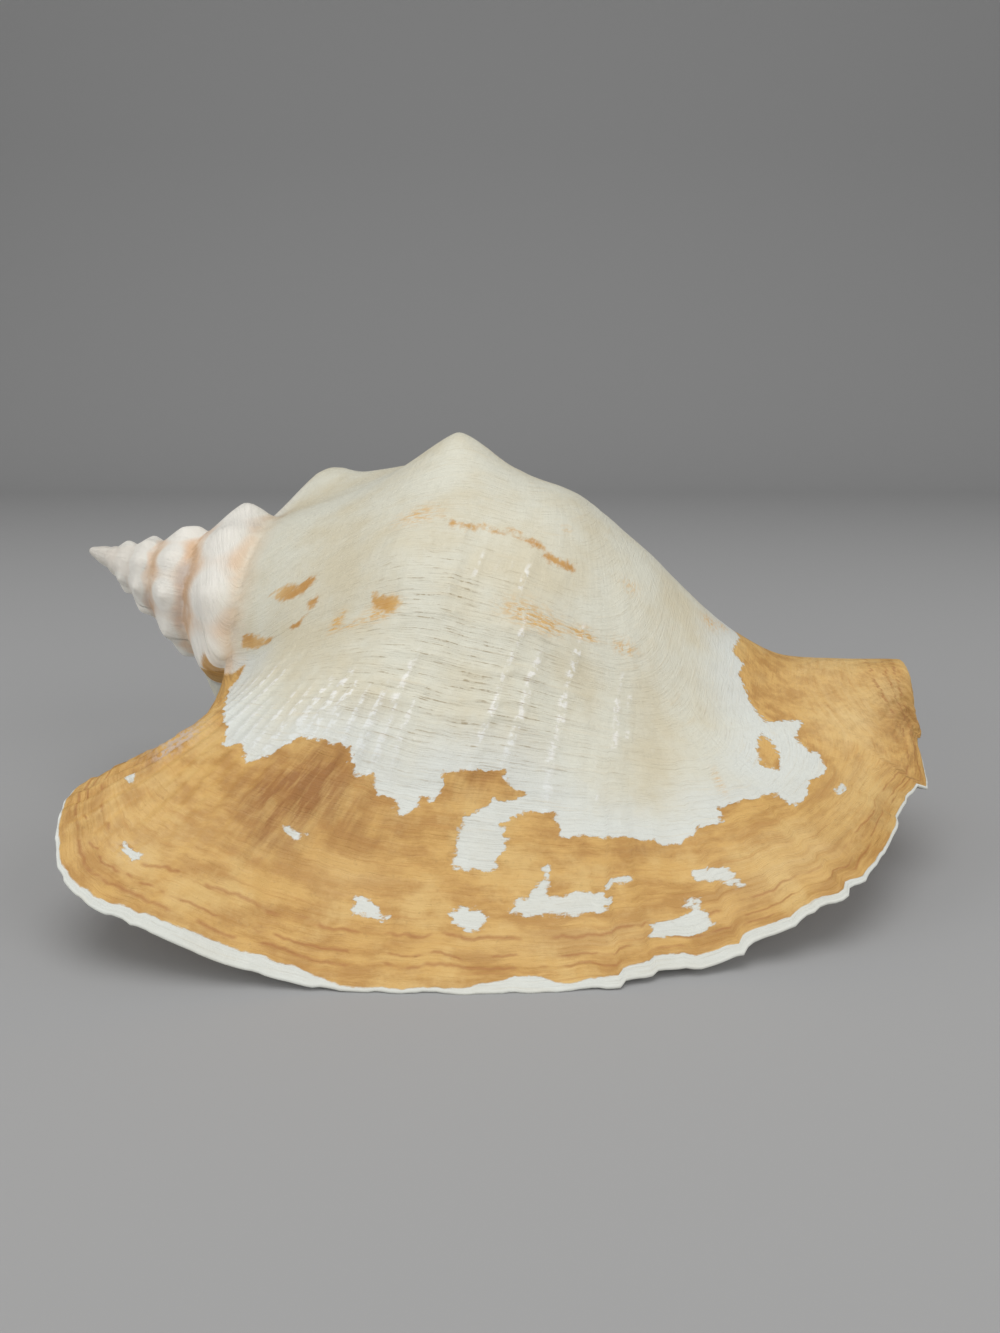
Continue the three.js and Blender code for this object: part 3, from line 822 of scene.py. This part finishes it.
CHIPS = [
    [(121, 20.7), (122.3, 20.5), (125.5, 18), (126.3, 16), (124.5, 16.2), (122, 16.8)],
    [(133, 19.6), (134.5, 20.2), (137, 19.3), (137.5, 15.3), (135.5, 14.6), (133.5, 16.5)],
    [
        (140, 18.8), (140.7, 21.8), (142, 22.5), (143, 26.2), (144, 26), (144.6, 23), (147, 23.6),
        (151.5, 24), (152.8, 21.5), (151, 19), (148, 18.2), (144.5, 18.7), (142.5, 18.2),
    ],
    [(151.5, 26.3), (155.5, 26.8), (155.3, 25.3), (152.5, 24.9)],
    [
        (163.5, 26.5), (166, 26.2), (168.2, 22.5), (168.5, 18), (167.5, 16.5), (167, 20),
        (165.5, 22.5), (163.5, 24),
    ],
    [
        (161.8, 19.6), (163, 18.5), (163.5, 10.5), (162.5, 9), (156.5, 9), (156.8, 12),
        (160, 14.2), (161.5, 15.3),
    ],
    [(108, 30), (111.5, 30), (111, 28.6), (109, 29)],
    [(143.4, 30.2), (144.6, 30.2), (144.6, 28.9), (143.4, 28.9)],
    [(75, 21.5), (77, 23.3), (79.5, 22.8), (79, 21), (76, 20.8)],
    [(91.5, 14), (95, 14.3), (95.5, 12.7), (92, 12.3)],
    [(189, 30.8), (191.2, 30), (191, 27.4), (189.2, 28)],
    [(143.9, 30.4), (144.5, 30.2), (144.6, 26), (144, 26)],
]
SKIN_ISLAND = [
    (185.2, 65.5), (186.6, 60.6), (186.1, 54.7), (183.7, 48.2), (181.6, 53.7), (182.7, 58.6),
    (184.2, 63.2),
]
# station, width of the white band along the rim
RIM_BAND = np.array([
    (55, 0.2), (66, 0.2), (78, 0.3), (86, 0.6), (92, 1.4), (100, 2.3), (110, 3.2), (118, 3.0),
    (124, 0.2), (133, 0.3), (139, 2.2), (143, 3.6), (147, 1.0), (152, 2.6), (158, 3.6), (162, 3.1),
    (168, 2.9), (176, 2.4), (183, 0.6), (222, 0.2),
])
rim_band = curve(RIM_BAND[:, 0], RIM_BAND[:, 1])
bare = deepest_of([BARE_BACK, *CHIPS])
bare = np.minimum(bare, -depth_inside(SKIN_ISLAND, station_list, growth_list))
bare = np.maximum(bare, rim_band(station_list) - growth_list)
under_side = part_list > 1.5
bare = np.where(under_side, np.maximum(bare, 3), bare)
print("share of points without skin", round(float((bare > 0)[~under_side].mean()), 2))

# %% Rust-coloured remains, and places where the skin is dark
RUST = [
    [
        (65.3, 112), (67, 108.5), (68.5, 105), (71, 101.5), (74.5, 100.5), (77.5, 102.5),
        (76, 105), (73, 104.5), (71, 107), (68, 110),
    ],
    [(77, 96), (79.5, 96), (79.7, 93), (78, 92.5)],
    [(60, 98), (61.5, 98), (64.5, 95), (67, 92), (69.5, 90), (69, 88.5), (64, 90.5), (59.7, 93)],
    [(74, 90.5), (76.6, 90), (76.4, 88), (75, 88)],
    [(94, 89), (96.5, 87), (100, 86), (101.5, 84), (100.5, 81.2), (98, 82.5), (95.5, 85)],
    [(50, 66), (56, 64), (62.4, 81), (61.5, 70), (60, 58), (54, 45), (49, 40)],
]
RUST_LINE = [
    (104, 108.3), (107, 106.6), (110.5, 105.9), (114, 107.9), (116.5, 107), (120, 108.4),
    (124, 107.6), (128, 106.2), (131.5, 104.4), (136.5, 105.2), (136.5, 103.4), (131.5, 102.6),
    (128, 104.4), (124, 106.2), (120, 107), (116.5, 105.8), (114, 106.8), (110.5, 104.4),
    (107, 105.2),
]
rust = deepest_of([*RUST, RUST_LINE])
print("share of points with rust", round(float((rust > 0).mean()), 4))

# %% Soft spots: faint rust, dark and pale skin, flakes and creases
# strength, station, age, width along the coil, width in age
FAINT_RUST = [
    (0.5, 98, 110, 4.5, 3), (0.5, 128, 88, 4.5, 3), (0.75, 134, 87, 4, 2.5),
    (1.3, 142.5, 88.5, 2.6, 1.2), (0.5, 152.5, 90, 3, 2), (1.1, 87.5, 83, 1.2, 3),
    (0.5, 92, 80, 3, 1.2), (0.9, 98, 83, 3, 3), (0.35, 132, 114.7, 1.2, 1.2),
    (0.3, 150, 110, 2.5, 2.5), (0.5, 172, 127, 2.2, 6), (0.45, 176, 134, 1.6, 5),
    (0.5, 172.3, 50.5, 0.5, 4),
]
DARK_SKIN = [
    (1.0, 108.5, 41, 3.2, 7), (0.8, 105, 36, 4.5, 10), (0.45, 114, 36, 5, 8), (0.5, 100, 38, 4, 8),
    (0.35, 120, 34, 5, 6), (0.3, 76, 27, 5, 3), (0.3, 168, 14, 2, 9), (0.3, 181, 12, 2.5, 9),
    (0.35, 190, 9, 5, 5), (0.45, 131, 47, 5, 4), (0.4, 108, 27, 5, 4), (0.45, 158, 33, 4, 2.5),
    (0.2, 190, 122, 5, 14), (0.55, 216, 34, 7, 14), (0.35, 166, 6.5, 3, 3),
]
PALE_SKIN = [
    (0.4, 84, 16, 8, 12), (0.3, 97, 20, 7, 8), (0.8, 204, 104, 9, 30), (0.7, 176, 20, 9, 10),
    (0.6, 194, 24, 8, 14), (0.9, 202, 52, 7, 14), (0.8, 216, 60, 5, 16), (0.4, 150, 12, 14, 4),
    (0.4, 206, 55, 5, 16), (0.4, 120, 24, 6, 5),
]
FLAKES = [(1.2, 71, 39, 5, 6), (1.0, 75, 34, 3, 5), (0.9, 66, 30, 3, 9), (0.3, 93, 13, 3, 2)]
CREASED = [
    (0.9, 118, 70, 22, 16), (0.7, 104, 84, 9, 14), (0.6, 112, 92, 12, 6), (0.5, 90, 84, 6, 5),
    (0.5, 130, 60, 18, 10),
]
faint_rust = soft_spots(FAINT_RUST)
dark_skin = soft_spots(DARK_SKIN)
pale_skin = soft_spots(PALE_SKIN)
flakes = soft_spots(FLAKES)
creased = soft_spots(CREASED)
print("strongest dark skin", round(float(dark_skin.max()), 2))


# %% Knobs and sutures of the spire
def knob_and_suture(station, turn):
    """Share of a knob, and of the suture beside it, on whichever whorl is outermost there."""
    outermost = np.zeros(station.shape)
    knob = np.zeros(station.shape)
    suture = np.zeros(station.shape)
    for k in range(WHORLS):
        earlier = turn - k
        size = grown(np.minimum(earlier, 0))
        r = whorl_radius(station, earlier)
        outer = r > outermost
        beside = np.exp(-(((station - suture_at(earlier)) / (4.5 * size)) ** 2))
        outermost = np.where(outer, r, outermost)
        knob = np.where(outer, knob_height(station, earlier) / (4.2 * size), knob)
        suture = np.where(outer, beside, suture)
    return np.clip(knob, 0, 1), suture


knob_share, suture_share = knob_and_suture(station_list, turn_list)
spire_share = 1 - ease(50, 64, station_list + 0.06 * (growth_list - 90))
spire_share = np.where(under_side, 0, spire_share)
tip_share = 1 - ease(17, 26, station_list)
print("share of points on a knob", round(float((knob_share > 0.5).mean()), 2))

# %% Lines of growth that bend round the canal
# near the canal's end the lines follow the edge, so the distance from the end takes over from age
canal_side = 1.3 * (AXIS_LENGTH + 2 - station_list)
line_age = soft_min(growth_list, canal_side, 22)
line_place = station_list + growth_list - line_age
inside_share = np.where(under_side, ease(1, 6, growth_list), 0) * (part_list < 3.5)
cord_height = cords(station_list, growth_list)


def write_values(mesh, **fields):
    """Store one number for every point of the mesh under each name."""
    for name, values in fields.items():
        layer = mesh.attributes.new(name, "FLOAT", "POINT")
        layer.data.foreach_set("value", np.asarray(values, np.float32))


write_values(
    shell_mesh, age=line_age, place=line_place, bare=bare, rust=rust, faint_rust=faint_rust,
    dark_skin=dark_skin, pale_skin=pale_skin, spire=spire_share, tip=tip_share, knob=knob_share,
    suture=suture_share, inside=inside_share, cord=cord_height, flakes=flakes, creased=creased,
)
print("values on the mesh:", [a.name for a in shell_mesh.attributes if a.data_type == "FLOAT"])

# %% [markdown]
# ## Shader maths written as expressions
#
# A finish is easier to read as sums and products than as a list of nodes. A small class wraps a
# socket, and each operator adds the node that does it. Numbers alone are worked out by Python.

# %% A socket that can be added and multiplied
class Wire:
    """A socket of one finish."""

    def __init__(self, finish, socket):
        self.finish = finish
        self.socket = socket

    def maths(self, operation, *others):
        """Result of one operation on this value and the others."""
        values = dict(enumerate((self, *others)))
        return self.finish.node("ShaderNodeMath", {"operation": operation}, values)

    # each sign adds the node of that name
    def __add__(self, other):
        return self.maths("ADD", other)

    __radd__ = __add__

    def __mul__(self, other):
        return self.maths("MULTIPLY", other)

    __rmul__ = __mul__

    def __sub__(self, other):
        return self.maths("SUBTRACT", other)

    def __rsub__(self, other):
        return self * -1 + other

    def lower(self, other):
        """Smaller of this value and the other."""
        return self.maths("MINIMUM", other)

    def step(self, start, end, low=0.0, high=1.0):
        """Smooth step from low at start to high at end."""
        settings = {"interpolation_type": "SMOOTHSTEP"}
        values = {"Value": self, "From Min": start, "From Max": end, "To Min": low, "To Max": high}
        return self.finish.node("ShaderNodeMapRange", settings, values, "Result")


# %% A finish, to which nodes are added one at a time
class Finish:
    """A material, with one method for each way of adding to it."""

    def __init__(self, name):
        self.material = bpy.data.materials.new(name)
        self.material.use_nodes = True
        self.tree = self.material.node_tree
        self.surface = self.tree.nodes["Principled BSDF"]

    def connect(self, socket, value):
        """Link a wire to the socket, or set a plain value on it."""
        if isinstance(value, Wire):
            self.tree.links.new(value.socket, socket)
        else:
            socket.default_value = value

    def node(self, kind, settings=None, values=None, output=0):
        """New node of a kind: its settings first, then the values or links of its sockets."""
        made = self.tree.nodes.new(kind)
        for name, value in (settings or {}).items():
            setattr(made, name, value)
        for name, value in (values or {}).items():
            self.connect(made.inputs[name], value)
        return Wire(self, made.outputs[output])

    def attribute(self, name):
        """Number stored on the mesh under this name."""
        return self.node("ShaderNodeAttribute", {"attribute_name": name}, None, "Fac")

    def noise(self, place, scale, detail=2.0, roughness=0.5):
        """Cloudy noise about 0.5, read at a place times the scale."""
        values = {"Vector": place, "Scale": scale, "Detail": detail, "Roughness": roughness}
        return self.node("ShaderNodeTexNoise", {"normalize": True}, values, "Fac")

    def vector(self, x, y, z):
        """Place made of three numbers."""
        return self.node("ShaderNodeCombineXYZ", None, {"X": x, "Y": y, "Z": z})

    def mix(self, amount, first, second):
        """First colour where the amount is 0, second where it is 1."""
        made = self.tree.nodes.new("ShaderNodeMix")
        made.data_type = "RGBA"
        self.connect(made.inputs[0], amount)
        self.connect(made.inputs[6], first)
        self.connect(made.inputs[7], second)
        return Wire(self, made.outputs[2])

    def set(self, **values):
        """Link or set sockets of the surface by name, with _ for each space."""
        for name, value in values.items():
            self.connect(self.surface.inputs[name.replace("_", " ")], value)


def shade(red, green, blue):
    """Screen values from 0 to 255 as shares of light: ((c + 0.055) / 1.055) to the power 2.4."""
    shares = [c / 255 for c in (red, green, blue)]
    linear = [((c + 0.055) / 1.055) ** 2.4 if c > 0.04 else c / 12.92 for c in shares]
    return (*linear, 1.0)


print("middle grey of a screen reflects", round(shade(128, 128, 128)[0], 3))

# %% [markdown]
# ## The finish
#
# Three layers make the outside: chalky white shell, tan skin over it, and rust-coloured remains.
# The colour of each is streaked along the growth lines, so the noise is stretched: it is read at
# the line's age and place instead of the position in space. Inside the opening the shell is
# glazed, from cream at the rim to rose further in.

# %% Places to read the patterns at
chalk = Finish("weathered shell")
here = chalk.node("ShaderNodeTexCoord", None, None, "Object")
age = chalk.attribute("age")
line = chalk.attribute("place")
grain = chalk.noise(here, 900.0, 3.0)
mottle = chalk.noise(here, 45.0, 4.0, 0.6)
streaks = chalk.noise(chalk.vector(line * 0.06, age * 0.75, 0.0), 1.0, 4.0, 0.65)
fine_lines = chalk.noise(chalk.vector(line * 0.10, age * 2.2, 3.0), 1.0, 3.0, 0.6)
cord_streaks = chalk.noise(chalk.vector(line * 0.6, age * 0.08, 7.0), 1.0, 4.0, 0.62)
blocky = chalk.noise(chalk.vector(line * 0.7, age * 0.6, 11.0), 1.0, 4.0, 0.55)
speckle = chalk.noise(chalk.vector(line * 0.5, age * 1.3, 15.0), 1.0, 4.0, 0.65)
dabs = chalk.noise(here, 110.0, 3.0, 0.55)
print(len(chalk.tree.nodes), "nodes read the patterns")

# %% Edges of the marks
near_rim = age.step(1.0, 8.0, 0.3, 1.0)
wander = (blocky - 0.5) * near_rim * 3.6 + (grain - 0.5) * 0.3
bare_depth = chalk.attribute("bare") + wander
bare_share = bare_depth.step(-0.25, 0.25)
rust_edge = chalk.attribute("rust") + 0.35 + (blocky - 0.5) * 3.2
rust_share = rust_edge.step(-0.5, 0.9) * mottle.step(0.3, 0.6, 0.75, 1.0)
faint_share = (chalk.attribute("faint_rust") * speckle.step(0.42, 0.62, 0.15, 2.0)).lower(0.9)
print(len(chalk.tree.nodes), "nodes with the edges")


# %% Thin lines along the growth
def growth_line(at, wide, waviness, seed):
    """Share of a thin wavy line at one age, broken into lengths."""
    sway = chalk.noise(chalk.vector(line * 0.16, seed, 0.0), 1.0, 3.0, 0.6)
    gaps = chalk.noise(chalk.vector(line * 0.22, seed + 9.0, age * 0.1), 1.0, 2.0, 0.5)
    off = (age - at + (sway - 0.5) * waviness).maths("ABSOLUTE")
    return off.step(0.0, wide, 1.0, 0.0) * gaps.step(0.42, 0.52)


rings = growth_line(5.6, 0.9, 4.5, 2.0) + growth_line(13.2, 0.8, 6.0, 4.0)
rings = rings + growth_line(8.5, 0.6, 5.0, 7.0)
print(len(chalk.tree.nodes), "nodes with the growth lines")

# %% [markdown]
# ## White shell
#
# Where the skin is gone the wall is bare lime, cream in places and washed to a cold white beside
# the skin. The cord tops carry a painted highlight, broken dashes of near white. Short dark lines
# cross them.

# %% White of the last whorl
cream = chalk.mix(mottle.step(0.35, 0.7), shade(225, 223, 206), shade(218, 209, 182))
ridge_top = chalk.attribute("cord").step(0.14, 0.34)
# painted highlight: cord tops painted near white in broken dashes, standing in for glints
painted_glint = chalk.mix(ridge_top * blocky.step(0.44, 0.56), cream, shade(246, 244, 236))
near_edge = bare_depth.step(0.5, 15.0, 0.75, 0.0)
washed = chalk.mix(near_edge, painted_glint, shade(223, 227, 223))
# short dark lines along the growth, strongest where the wall is creased
hairlines = fine_lines.step(0.55, 0.68) * blocky.step(0.42, 0.6, 0.2, 1.0)
crease_share = (hairlines * (chalk.attribute("creased") * 0.95 + 0.2)).lower(0.85)
lined = chalk.mix(crease_share, washed, shade(160, 142, 108))
warm = chalk.mix(streaks.step(0.55, 0.75) * 0.35, lined, shade(220, 206, 176))
print(len(chalk.tree.nodes), "nodes with the white")

# %% Peach spire with chalky knobs
peach = chalk.mix(dabs.step(0.42, 0.6), shade(243, 224, 202), shade(240, 204, 168))
hollow_share = (1 - chalk.attribute("knob")) * mottle.step(0.48, 0.6) * 0.7
hollow = chalk.mix(hollow_share, peach, shade(200, 186, 180))
seam_share = chalk.attribute("suture") * dabs.step(0.42, 0.6, 0.2, 0.8)
seam = chalk.mix(seam_share, hollow, shade(208, 170, 130))
chalky_share = (chalk.attribute("knob").step(0.35, 0.8) + chalk.attribute("tip") * 0.85).lower(1.0)
chalky = chalk.mix(chalky_share, seam, shade(249, 245, 235))
bone = chalk.mix(chalk.attribute("spire"), warm, chalky)
print(len(chalk.tree.nodes), "nodes with the spire")

# %% Rust-coloured remains
stained = chalk.mix(faint_share, bone, shade(222, 178, 108))
rusty = chalk.mix(mottle.step(0.35, 0.65), shade(222, 178, 102), shade(196, 142, 70))
white_layer = chalk.mix(rust_share * 0.96, stained, rusty)
print(len(chalk.tree.nodes), "nodes with the remains")

# %% [markdown]
# ## Tan skin
#
# The skin is thin and horny, so its colour follows how thick it is: patches and clouds of light
# and dark tan, dark streaks along the cords, and thin dark lines where growth paused.

# %% Patches and streaks of tan
patches = chalk.noise(chalk.vector(line * 0.14, age * 0.2, 5.0), 1.0, 5.0, 0.62)
clouds = chalk.noise(here, 70.0, 5.0, 0.65)
tan = chalk.mix(patches.step(0.38, 0.62), shade(219, 175, 102), shade(192, 144, 77))
tan = chalk.mix(clouds.step(0.46, 0.66) * 0.7, tan, shade(228, 192, 124))
tan = chalk.mix(streaks.step(0.55, 0.72) * 0.4, tan, shade(190, 134, 76))
pale_amount = chalk.attribute("pale_skin") * streaks.step(0.3, 0.7, 1.0, 0.4)
tan = chalk.mix(pale_amount, tan, shade(232, 198, 136))
tan = chalk.mix(fine_lines.step(0.6, 0.72) * 0.25, tan, shade(172, 116, 62))
print(len(chalk.tree.nodes), "nodes with the tan")

# %% Dark places, lines, flakes and points in the skin
dark_streaks = cord_streaks.step(0.32, 0.66, 0.35, 1.1) * clouds.step(0.3, 0.6, 0.6, 1.15)
dark_amount = (chalk.attribute("dark_skin") * dark_streaks).lower(0.95)
flake_amount = (chalk.attribute("flakes") * blocky.step(0.42, 0.56)).lower(0.85)
tan = chalk.mix(dark_amount, tan, shade(160, 108, 52))
tan = chalk.mix((rings * 0.6).lower(0.7), tan, shade(172, 112, 60))
tan = chalk.mix(flake_amount, tan, shade(206, 186, 168))
tan = chalk.mix(grain.step(0.62, 0.75) * 0.15, tan, shade(130, 92, 54))
outside = chalk.mix(bare_share, tan, white_layer)
print(len(chalk.tree.nodes), "nodes with the skin")

# %% [markdown]
# ## Gloss and the glazed opening
#
# The chalk is dull and the skin is like dry leather, while the inside is a hard glaze. Pores and
# the thickness of the skin are finer than the points of the mesh, so they are a bump.

# %% The whole finish
glaze = chalk.mix(age.step(8.0, 60.0), shade(240, 222, 200), shade(228, 176, 150))
inside = chalk.attribute("inside")
colour = chalk.mix(inside, outside, glaze)
skin_rough = streaks.step(0.3, 0.7, 0.42, 0.6)
bone_rough = blocky.step(0.35, 0.65, 0.36, 0.58) - ridge_top * 0.1
rough = skin_rough + (bone_rough - skin_rough) * bare_share
rough = rough + (0.22 - rough) * inside
scaled_edge = (1 - bare_share) * 0.12
pores = (grain - 0.5) * 0.10 + (fine_lines - 0.5) * 0.22 + (streaks - 0.5) * 0.25
ridge_lines = (cord_streaks - 0.5) * 0.25
height = (scaled_edge + pores + ridge_lines) * (1 - inside)
bump = chalk.node("ShaderNodeBump", None, {"Height": height, "Strength": 1.0, "Distance": 0.001})
chalk.set(Base_Color=colour, Roughness=rough, Normal=bump)
conch.data.materials.append(chalk.material)
print(len(chalk.tree.nodes), "nodes in the whole finish")

# %% [markdown]
# ## A pale sweep to lie on
#
# The shell lies on a plain sheet that runs back and rises, so no edge or corner shows behind it.

# %% Sweep of pale paper
def sweep(width, near, far, height, bend):
    """Profile flat from near to far, then a quarter circle of the bend's radius, then upright."""
    angles = np.linspace(0, np.pi / 2, 24)
    ys = np.concatenate([[near], far + bend * np.sin(angles), [far + bend]])
    zs = np.concatenate([[0], bend - bend * np.cos(angles), [height]])
    xs = np.array([-width / 2, width / 2])
    rows = [np.repeat(values[:, None], 2, 1) for values in (ys, zs)]
    grid = np.stack([np.repeat(xs[None], len(ys), 0), *rows], -1)
    numbers = np.arange(2 * len(ys)).reshape(-1, 2)
    faces = np.stack([numbers[:-1, 0], numbers[:-1, 1], numbers[1:, 1], numbers[1:, 0]], axis=-1)
    return grid.reshape(-1, 3), faces.tolist()


sweep_points, sweep_faces = sweep(6.0, -1.5, 1.2, 2.5, 0.6)
paper = bpy.data.objects.new("paper sweep", build_mesh("paper sweep", sweep_points, sweep_faces))
bpy.context.scene.collection.objects.link(paper)
pale = Finish("pale paper")
pale.set(Base_Color=shade(170, 170, 170), Roughness=0.9)
paper.data.materials.append(pale.material)
print("paper of", len(sweep_faces), "strips")

# %% [markdown]
# ## Soft light
#
# Broad lamps stand in for a cloudy sky: one large and high, weaker ones from both sides, a faint
# one low in front, and an even grey surround that fills the shadows.

# %% Lamps and surround
def lamp(name, place_at, aim, size, watts):
    """Round lamp that faces its aim: tilted by the slope to it, then turned to its side."""
    data = bpy.data.lights.new(name, "AREA")
    data.shape = "DISK"
    data.size = size
    data.energy = watts
    made = bpy.data.objects.new(name, data)
    made.location = place_at
    x, y, z = np.array(aim) - np.array(place_at)
    made.rotation_euler = (math.atan2(math.hypot(x, y), -z), 0, math.atan2(y, x) - math.pi / 2)
    bpy.context.scene.collection.objects.link(made)
    print(name, "of", watts, "W")


lamp("sky lamp", (-0.05, -0.2, 1.3), (0, 0, 0.03), 1.1, 6.1)
lamp("right lamp", (0.9, -0.7, 0.6), (0, 0, 0.04), 0.8, 3.7)
lamp("left lamp", (-1.1, -0.45, 0.4), (0, 0, 0.04), 0.7, 2.9)
lamp("low lamp", (-0.2, -1.2, 0.25), (0, 0, 0.03), 0.7, 2.0)
SURROUND_STRENGTH = 0.4
surround = bpy.data.worlds.new("grey surround")
surround.use_nodes = True
background = surround.node_tree.nodes["Background"]
background.inputs["Color"].default_value = (1.0, 1.0, 1.0, 1.0)
background.inputs["Strength"].default_value = SURROUND_STRENGTH
bpy.context.scene.world = surround
print("surround of strength", SURROUND_STRENGTH)

# %% [markdown]
# ## The camera
#
# It stands at the height of the shell's knobs, close in front of the lip, and looks slightly
# down. That near place makes the lip look broad and the spire small.

# %% Camera
SENSOR_WIDTH = 36.0
# focal length as a share of the picture's longer side
FOCAL_SHARE = 1000 / 1333
CAMERA_AT = (0.00483, -0.24489, 0.107)
CAMERA_TILT = math.radians(14.07)
camera_data = bpy.data.cameras.new("camera")
camera_data.sensor_fit = "AUTO"
camera_data.sensor_width = SENSOR_WIDTH
camera_data.lens = SENSOR_WIDTH * FOCAL_SHARE
camera_data.clip_start = 0.01
camera = bpy.data.objects.new("camera", camera_data)
camera.location = CAMERA_AT
camera.rotation_euler = (math.pi / 2 - CAMERA_TILT, 0, 0)
bpy.context.scene.collection.objects.link(camera)
bpy.context.scene.camera = camera
bpy.context.scene.view_settings.view_transform = "Standard"
print("camera with a lens of", round(camera_data.lens, 1), "mm")

# %% [markdown]
# ## The finished piece
#
# The finished piece should fill the same box as the solid model.

# %% Update the scene
bpy.context.view_layer.update()
